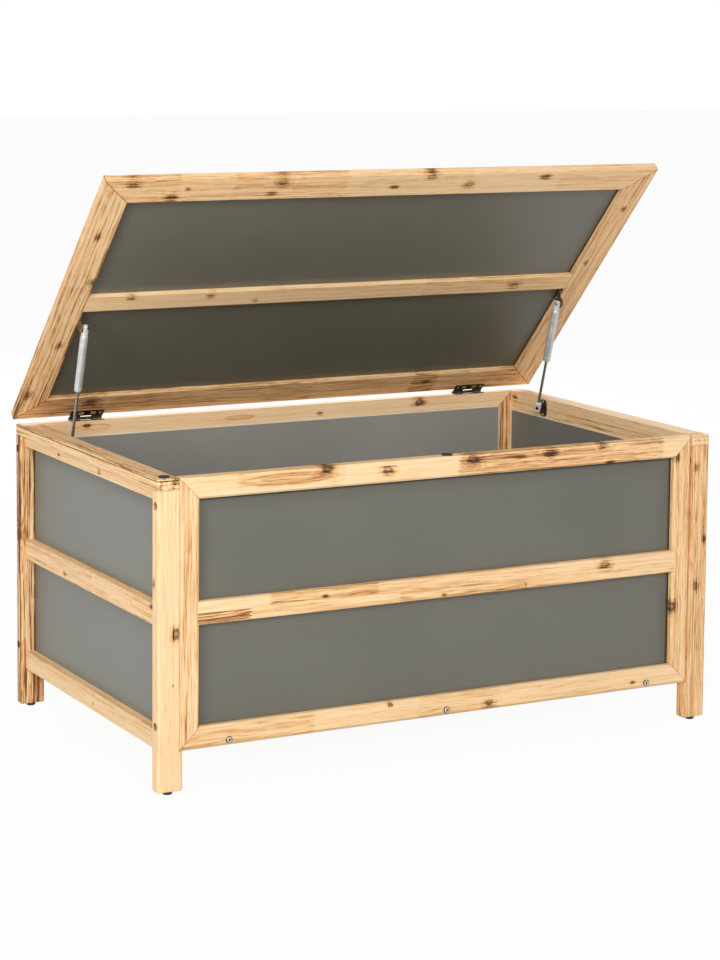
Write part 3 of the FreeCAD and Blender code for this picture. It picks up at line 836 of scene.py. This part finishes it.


# Dark bronze is the coat of hinges, bolts and brackets, and on the floor screws' cups it paints the shadow
# ring round the heads.
dark_bronze = patchy("dark_bronze", screen(52, 42, 32), screen(104, 86, 62),
                     scale=160, gloss=0.35, metal=0.8, relief=0.2)
worn_bronze = patchy("worn_bronze", screen(92, 76, 54), screen(190, 176, 150),
                     scale=220, gloss=0.3, metal=0.8, relief=0.2)
zinc = patchy("zinc_plating", screen(206, 196, 176), screen(168, 156, 136),
              scale=300, gloss=0.3, metal=0.6, relief=0.15)
silver_paint = patchy("silver_paint", screen(196, 198, 198), screen(216, 218, 217),
                      scale=60, gloss=0.3, metal=0.4, relief=0.1)
rod_steel = patchy("rod_steel", screen(146, 143, 138), screen(170, 167, 161),
                   scale=200, gloss=0.22, metal=0.8, relief=0.05)
grey_plastic = patchy("grey_plastic", screen(204, 206, 206), screen(216, 218, 217),
                      scale=150, gloss=0.42, metal=0.0, relief=0.15)
black_rubber = patchy("black_rubber", screen(28, 29, 28), screen(44, 45, 43),
                      scale=180, gloss=0.6, metal=0.0, relief=0.4)
# Black plastic is the glides' own colour, and it also gives the eyes of the strut ends their painted shade.
black_plastic = patchy("black_plastic", screen(24, 24, 24), screen(36, 36, 35),
                       scale=180, gloss=0.45, metal=0.0, relief=0.2)
print("zinc plating:", len(zinc.node_tree.nodes), "shader nodes")

# %% Small parts dressed
small_finishes = {
    "hinge_fixed_leaves": dark_bronze, "hinge_lid_leaves": dark_bronze, "hinge_pins": dark_bronze,
    "strut_box_brackets": dark_bronze, "strut_lid_brackets": worn_bronze,
    "hinge_fixed_screws": zinc, "hinge_lid_screws": zinc, "strut_box_screws": zinc,
    "strut_lid_screws": zinc, "floor_screws": zinc, "leg_bolts": dark_bronze,
    "foot_glides": black_plastic, "bumpers": black_rubber,
}
for side in ("left", "right"):
    small_finishes[side + "_strut_rod"] = rod_steel
    small_finishes[side + "_strut_tube"] = silver_paint
    small_finishes[side + "_strut_rod_end"] = grey_plastic
    small_finishes[side + "_strut_tube_end"] = grey_plastic
    small_finishes[side + "_strut_lid_stud"] = zinc
for node, material in small_finishes.items():
    dress(node, material)
print("small finishes on", len(small_finishes), "nodes")

# %% [markdown]
# ## Sheets seen from inside
# Each sheet lies in a rebate that is open toward the inside of the chest, so inside it covers a strip of
# its frame, and its folded edge catches the light: here that is a painted highlight, a near-white coating
# on the rim. Such a sheet is cut, folded at the rim and pushed in. Here a cube is stretched to the sheet's
# size, its inner face is inset to leave the fold standing, and all edges are bevelled.

# %% One inner sheet
# Width of the painted highlight along each inner sheet's rim, and of its first inset.
highlight_rim = 1.5 * mm
fold_width = 5 * mm
fold_height = 0.25 * mm
edge_bevel = 0.1 * mm
bevel_steps = 2
fold_smoothing = math.radians(50)
same_way = 0.9


def select_face(piece, way):
    """Select the one face of a box that looks the given way, and go into edit mode."""
    for face in piece.data.polygons:
        face.select = face.normal.dot(way) > same_way
    bpy.ops.object.mode_set(mode="EDIT")


def inner_sheet_piece(name, low, high, way, material):
    """A thin sheet between two corners with a folded rim on the face that looks the given way."""
    bpy.ops.object.select_all(action="DESELECT")
    bpy.ops.mesh.primitive_cube_add(size=1)
    piece = bpy.context.object
    piece.name = name
    bpy.ops.object.mode_set(mode="EDIT")
    bpy.ops.mesh.select_mode(type="FACE")
    bpy.ops.transform.resize(value=high - low)
    bpy.ops.transform.translate(value=(low + high) / 2)
    bpy.ops.mesh.select_all(action="DESELECT")
    bpy.ops.object.mode_set(mode="OBJECT")
    select_face(piece, way)
    bpy.ops.mesh.inset(thickness=highlight_rim)
    bpy.ops.mesh.inset(thickness=fold_width, depth=-fold_height)
    bpy.ops.mesh.select_all(action="SELECT")
    bpy.ops.mesh.bevel(offset=edge_bevel, segments=bevel_steps, affect="EDGES")
    bpy.ops.object.mode_set(mode="OBJECT")
    bpy.ops.object.shade_smooth_by_angle(angle=fold_smoothing)
    piece.data.materials.append(material)
    piece.data.materials.append(rim_highlight_sheet)
    reach = (high - low) / 2
    # Faces near the sheet's outline take the near-white coating, a painted highlight.
    for face in piece.data.polygons:
        inward = sorted(
            reach[place] - abs(face.center[place] - (low + high)[place] / 2) for place in range(3)
        )
        face.material_index = 1 if inward[1] < highlight_rim else 0
    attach(piece, "chest")
    print(name, "faces:", len(piece.data.polygons))


# %% Inner sheets
sheet_thickness = 1.6 * mm
frame_cover = 9 * mm
side_cover = 3 * mm
for end, way in (("front", axis_y), ("back", -axis_y)):
    left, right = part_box(end + "_left_stile")[1].x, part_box(end + "_right_stile")[0].x
    bottom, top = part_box(end + "_bottom_rail")[1].z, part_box(end + "_top_rail")[0].z
    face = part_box("front_top_rail")[1].y if end == "front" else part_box("back_top_rail")[0].y
    depths = sorted((face, face + way.y * sheet_thickness))
    low = Vector((left - frame_cover, depths[0], bottom - frame_cover))
    high = Vector((right + frame_cover, depths[1], top + frame_cover))
    inner_sheet_piece(end + "_inner_sheet", low, high, way, inner_sheet)
for side, way in (("left", axis_x), ("right", -axis_x)):
    front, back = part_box("front_" + side + "_leg")[1].y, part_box("back_" + side + "_leg")[0].y
    bottom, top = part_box(side + "_side_bottom_rail")[1].z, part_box(side + "_side_top_rail")[0].z
    rail_low, rail_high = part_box(side + "_side_top_rail")
    face = rail_high.x if side == "left" else rail_low.x
    depths = sorted((face, face + way.x * sheet_thickness))
    low = Vector((depths[0], front, bottom - side_cover))
    high = Vector((depths[1], back, top + side_cover))
    inner_sheet_piece(side + "_inner_sheet", low, high, way, side_inner_sheet)

# %% [markdown]
# ## Turned pieces
# Foot glides, bumpers, screw heads and the tubes and ends of the struts are all round. On a lathe they
# would be turned from a rod by moving the tool in and out. Here a circle is extruded ring by ring, and each
# ring is scaled to its radius. A shape that is needed more than once is turned once and copied to each seat.

# %% A lathe
round_sides = 40
turned_smoothing = math.radians(35)


def turned(rings):
    """A round object along Z from pairs of height and radius in millimetres."""
    height, radius = rings[0]
    bpy.ops.object.select_all(action="DESELECT")
    bpy.ops.mesh.primitive_circle_add(vertices=round_sides, radius=radius * mm, fill_type="NGON",
                                      location=(0, 0, height * mm))
    piece = bpy.context.object
    bpy.ops.object.transform_apply(location=True)
    bpy.ops.object.mode_set(mode="EDIT")
    for next_height, next_radius in rings[1:]:
        step = (0, 0, (next_height - height) * mm)
        bpy.ops.mesh.extrude_region_move(TRANSFORM_OT_translate={"value": step})
        share = next_radius / radius
        bpy.ops.transform.resize(value=(share, share, 1))
        height, radius = next_height, next_radius
    bpy.ops.mesh.select_all(action="SELECT")
    bpy.ops.mesh.normals_make_consistent(inside=False)
    bpy.ops.object.mode_set(mode="OBJECT")
    bpy.ops.object.shade_smooth_by_angle(angle=turned_smoothing)
    return piece


def pointing(axis):
    """The turn that lays Z along an axis."""
    return axis.to_track_quat("Z", "Y").to_matrix().to_4x4()


def set_out(name, pattern_piece, seats, material, body, node):
    """Copy a turned piece to each seat, a pair of place and axis, and remove the pattern."""
    for number, (place, axis) in enumerate(seats, 1):
        piece = pattern_piece.copy()
        piece.data = pattern_piece.data.copy()
        piece.data.transform(Matrix.Translation(place) @ pointing(axis))
        piece.name = name + "_" + str(number)
        piece.data.materials.clear()
        piece.data.materials.append(material)
        bpy.context.collection.objects.link(piece)
        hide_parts(node)
        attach(piece, body)
    bpy.data.objects.remove(pattern_piece)
    print(name, "pieces:", len(seats))


print("a turned piece has", round_sides, "sides")

# %% [markdown]
# ## Foot glides
# A plastic glide under each leg keeps the wood off wet ground. It is moulded with a rounded rim, so that it
# slides without catching. A cylinder with a bevel would do, but rings give the rim's curve directly.

# %% Foot glides
glide_rings = [(7, 9.5), (3.5, 9.5), (1.8, 9.0), (0.6, 7.8), (0, 6)]
glide_seats = []
for end in ("front", "back"):
    for side in ("left", "right"):
        low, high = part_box(end + "_" + side + "_leg")
        glide_seats.append((Vector(((low.x + high.x) / 2, (low.y + high.y) / 2, 0)), axis_z))
set_out("foot_glide", turned(glide_rings), glide_seats, black_plastic, "chest",
        "foot_glides")

# %% [markdown]
# ## Bumpers
# Two rubber bumpers on the rim take the lid when it closes, one on the left and one in the middle of the
# front. They are stuck on and have a soft, low dome, which is turned here as it would be moulded. The dome
# stays just under the closed lid.

# %% Bumpers
bumper_rings = [(0, 10.5), (1.6, 10.5), (2.4, 10.1), (2.8, 9.2), (2.9, 7.5)]
bumper_low, bumper_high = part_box("bumpers")
bumper_radius = bumper_rings[0][1] * mm
rim = bumper_low.z
front_rail_low, front_rail_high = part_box("front_top_rail")
bumper_seats = [
    (Vector((bumper_low.x + bumper_radius, bumper_high.y - bumper_radius, rim)), axis_z),
    (Vector((0, (front_rail_low.y + front_rail_high.y) / 2, rim)), axis_z),
]
set_out("bumper", turned(bumper_rings), bumper_seats, black_rubber, "chest", "bumpers")

# %% [markdown]
# ## Floor screws
# Screws through the bottom rails hold the floor bearers, three in front and three at the back. Each one is
# a bright socket head in a dark cup, whose dark bronze paints the shadow ring round the head. The cup and
# the head have two finishes, so they are turned as two pieces, and the last rings of each go back down to
# sink the cup and the socket.

# %% Floor screws
cup_rings = [(0, 6.5), (1.4, 6.5), (1.8, 6.2), (1.8, 5.8), (0.9, 5.6)]
head_rings = [(0.5, 5.4), (2.2, 5.4), (2.7, 4.8), (2.8, 4.2), (2.8, 2.2), (0.8, 2.0)]
screw_low, screw_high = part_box("floor_screws")
head_radius = cup_rings[0][1] * mm
screw_rise = (screw_low.z + screw_high.z) / 2
screw_seats = []
for way in (-axis_y, axis_y):
    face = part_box("front_bottom_rail")[0].y if way.y < 0 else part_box("back_bottom_rail")[1].y
    for across in (screw_low.x + head_radius, 0, screw_high.x - head_radius):
        screw_seats.append((Vector((across, face, screw_rise)), way))
# The cup's dark bronze stands in for the shadow ring round each head: painted shade.
set_out("floor_screw_cup", turned(cup_rings), screw_seats, dark_bronze, "chest",
        "floor_screws")
set_out("floor_screw_head", turned(head_rings), screw_seats, zinc, "chest", "floor_screws")

# %% [markdown]
# ## Struts
# A gas strut is a painted tube with a groove near its open end, and a ball socket on each end. The sockets
# are moulded: a collar, a rounded head and an eye through which the ball is pressed in. The tube and the
# sockets are turned, and the eye is cut with a Boolean, whose cutter gives the walls of the hole black:
# painted shade.

# %% A strut end
eye_rings = [(2, 2.8), (4, 3.3), (6, 3.6), (9, 3.6)]


def cut_eye(piece, way):
    """Cut a round eye into the side of a strut end, at its ball, with black walls as painted shade."""
    cutter = turned(eye_rings)
    cutter.data.transform(pointing(way))
    # The cutter's black passes to the walls of the eye: painted shade of the hole.
    cutter.data.materials.append(black_plastic)
    piece.data.materials.append(grey_plastic)
    bpy.context.view_layer.objects.active = piece
    cut = piece.modifiers.new("eye", "BOOLEAN")
    cut.object = cutter
    cut.solver = "EXACT"
    cut.material_mode = "TRANSFER"
    bpy.ops.object.modifier_apply(modifier=cut.name)
    bpy.data.objects.remove(cutter)


def strut_end(name, rings, centre, up, way, body, node):
    """A moulded strut end about its ball centre, with its eye on the given side."""
    piece = turned(rings)
    piece.name = name
    piece.data.transform(pointing(up))
    cut_eye(piece, way)
    piece.data.transform(Matrix.Translation(centre))
    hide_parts(node)
    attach(piece, body)
    print(name, "faces:", len(piece.data.polygons))


# %% Strut tubes and ends
tube_rings = [
    (0, 6.6), (0.8, 7.5), (8.8, 7.9), (9.4, 7.2), (10.6, 7.2), (11.2, 7.9), (113, 7.9), (117, 7.3), (120, 6),
]
tube_end_rings = [
    (-14, 6.3), (-13.4, 6.9), (-8.2, 6.9), (-7.6, 6.1), (-6.6, 6.1), (-6, 6.8), (-4, 7), (1.5, 7),
    (4.2, 6.1), (6.1, 4.2), (7, 1.5),
]
rod_end_rings = [(-7, 5.2), (-6.4, 6.4), (-5, 7), (11.5, 7), (12.6, 6.4), (13.5, 4.6), (13.8, 3.4)]
tube_below_ball = 134 * mm
joints = {joint["name"]: joint for joint in frame["joints"]}
for side, way in (("left", axis_x - axis_y), ("right", -axis_x - axis_y)):
    box_ball = Vector(joints[side + "_strut_turn"]["pos_m"])
    up = Vector(joints[side + "_strut_slide"]["axis"])
    stud_low, stud_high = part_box(side + "_strut_lid_stud")
    lid_ball = (stud_low + stud_high) / 2
    lid_ball.x = box_ball.x
    tube = side + "_tube"
    rod = side + "_rod"
    set_out(side + "_tube_body", turned(tube_rings), [(lid_ball - up * tube_below_ball, up)], silver_paint,
            tube, side + "_strut_tube")
    strut_end(side + "_tube_socket", tube_end_rings, lid_ball, up, way, tube, side + "_strut_tube_end")
    strut_end(side + "_rod_socket", rod_end_rings, box_ball, up, way, rod, side + "_strut_rod_end")

# %% [markdown]
# ## Plywood floor
# The floor of the chest hides in its shadow. It is a plain plywood board with a wide, wavy face grain. The
# hardwood finish would be too lively for it, so two stretched noises mix a pale and a darker tone.

# %% The floor finish
wave_noise = ((3, 22, 3), 3.0, 0.6)
face_hair_noise = ((18, 500, 18), 2.0)
wave_share = 0.7
wave_limits = (0.25, 0.75)
ply_pale = screen(222, 186, 138)
ply_brown = screen(186, 144, 96)
ply_roughness = 0.55
ply_hair_roughness = 0.2
ply_bump = 0.2
ply_depth = 0.4 * mm


def plywood_pattern(places):
    """Wide waves with fine hairs along the board."""
    wave = places.noise(*wave_noise)
    hair = places.noise(*face_hair_noise)
    shade = (wave * wave_share + hair * (1 - wave_share)).rise(*wave_limits)
    roughness = ply_roughness + hair * ply_hair_roughness
    return {"Base Color": shade.mix(ply_pale, ply_brown), "Roughness": roughness,
            "Normal": hair.bump(ply_bump, ply_depth)}


dress("floor_board", new_finish("plywood", plywood_pattern))
print("plywood floor dressed")

# %% [markdown]
# ## Floor, backdrop and light
# The chest stands on a pale floor in a white studio. The world and the floor are white to the camera and in
# reflections, and give a softer light to everything else. A large key lamp in front on the left shapes the
# faces, a smaller lamp further left fills the left side, and a third one behind the chest lights its back.
# The floor keeps a faint shadow under the legs.

# %% White world and floor
white = (1, 1, 1, 1)
floor_grey = (0.9, 0.9, 0.9, 1)
floor_width = 60


def seen_directly(tree):
    """1 for camera, mirror and glass rays, 0 for the light that falls on surfaces."""
    path = tree.nodes.new("ShaderNodeLightPath")
    direct = Tone(tree, path.outputs["Is Camera Ray"])
    for ray in ("Is Glossy Ray", "Is Transmission Ray"):
        direct = direct.larger(Tone(tree, path.outputs[ray]))
    return direct


def white_world(strength):
    """A world that is white to look at and lights the scene with the given strength."""
    world = bpy.data.worlds.new("studio")
    world.use_nodes = True
    tree = world.node_tree
    tree.nodes.remove(tree.nodes["Background"])
    direct = seen_directly(tree)
    ambient = direct.node("ShaderNodeBackground", {}, {"Color": white, "Strength": strength})
    backdrop = direct.node("ShaderNodeBackground", {}, {"Color": white, "Strength": 1.0})
    mixed = direct.node("ShaderNodeMixShader", {}, {0: direct, 1: ambient, 2: backdrop})
    feed(tree, tree.nodes["World Output"].inputs["Surface"], mixed)
    bpy.context.scene.world = world


def white_floor(share_of_white):
    """A floor that looks nearly white and still takes a shadow."""
    bpy.ops.object.select_all(action="DESELECT")
    bpy.ops.mesh.primitive_plane_add(size=floor_width)
    floor = bpy.context.object
    floor.name = "studio_floor"
    material = bpy.data.materials.new("studio_floor")
    material.use_nodes = True
    tree = material.node_tree
    tree.nodes.remove(tree.nodes["Principled BSDF"])
    direct = seen_directly(tree)
    matt = direct.node("ShaderNodeBsdfDiffuse", {}, {"Color": floor_grey})
    glow = direct.node("ShaderNodeEmission", {}, {"Color": white, "Strength": 1.0})
    mixed = direct.node("ShaderNodeMixShader", {}, {0: direct * share_of_white, 1: matt, 2: glow})
    feed(tree, tree.nodes["Material Output"].inputs["Surface"], mixed)
    floor.data.materials.append(material)


white_world(strength=0.4)
white_floor(share_of_white=0.95)
print("white floor:", floor_width, "m wide")

# %% Lamps
lamp_target = Vector((0, 0, 0.5))


def lamp(name, place, size, power):
    """A square lamp that faces the chest."""
    bpy.ops.object.light_add(type="AREA", location=place)
    light = bpy.context.object
    light.name = name
    light.data.energy = power
    light.data.size = size
    toward = lamp_target - Vector(place)
    light.rotation_euler = toward.to_track_quat("-Z", "Y").to_euler()
    print(name, "stands", round(toward.length, 2), "m away")


lamp("key_lamp", (-2.2, -4.2, 3.1), size=2.2, power=152)
lamp("fill_lamp", (-4.4, -2.8, 1.5), size=1.2, power=57)
lamp("back_lamp", (1.8, 4.4, 2.8), size=2.2, power=120)
bpy.context.scene.view_settings.view_transform = "Standard"

# %% [markdown]
# ## Camera
# The camera stands to the left of the front, a little above the lid, and looks slightly down. Its frame is
# shifted down a little, which keeps the legs close to upright, as in a product photograph. A long lens from
# some way off keeps the front and the back of the chest close in size.

# %% Camera
camera_place = Vector((-2.4287, -4.5131, 1.3969))
look_right = math.radians(28.186)
look_down = math.radians(5.931)
camera_roll = math.radians(0.522)
film_height = 36
lens_length = 96.82
frame_shift = -0.2
farthest = 100
bpy.ops.object.camera_add(location=camera_place)
camera = bpy.context.object
camera.rotation_euler = (math.pi / 2 - look_down, -camera_roll, -look_right)
camera.data.sensor_fit = "VERTICAL"
camera.data.sensor_height = film_height
camera.data.lens = lens_length
camera.data.shift_y = frame_shift
camera.data.clip_end = farthest
bpy.context.scene.camera = camera
print("camera distance:", round(camera_place.length, 2), "m")

# %% [markdown]
# ## Sizes
# A dressed model has to keep the size of the packed one, or it no longer fits where the part goes.
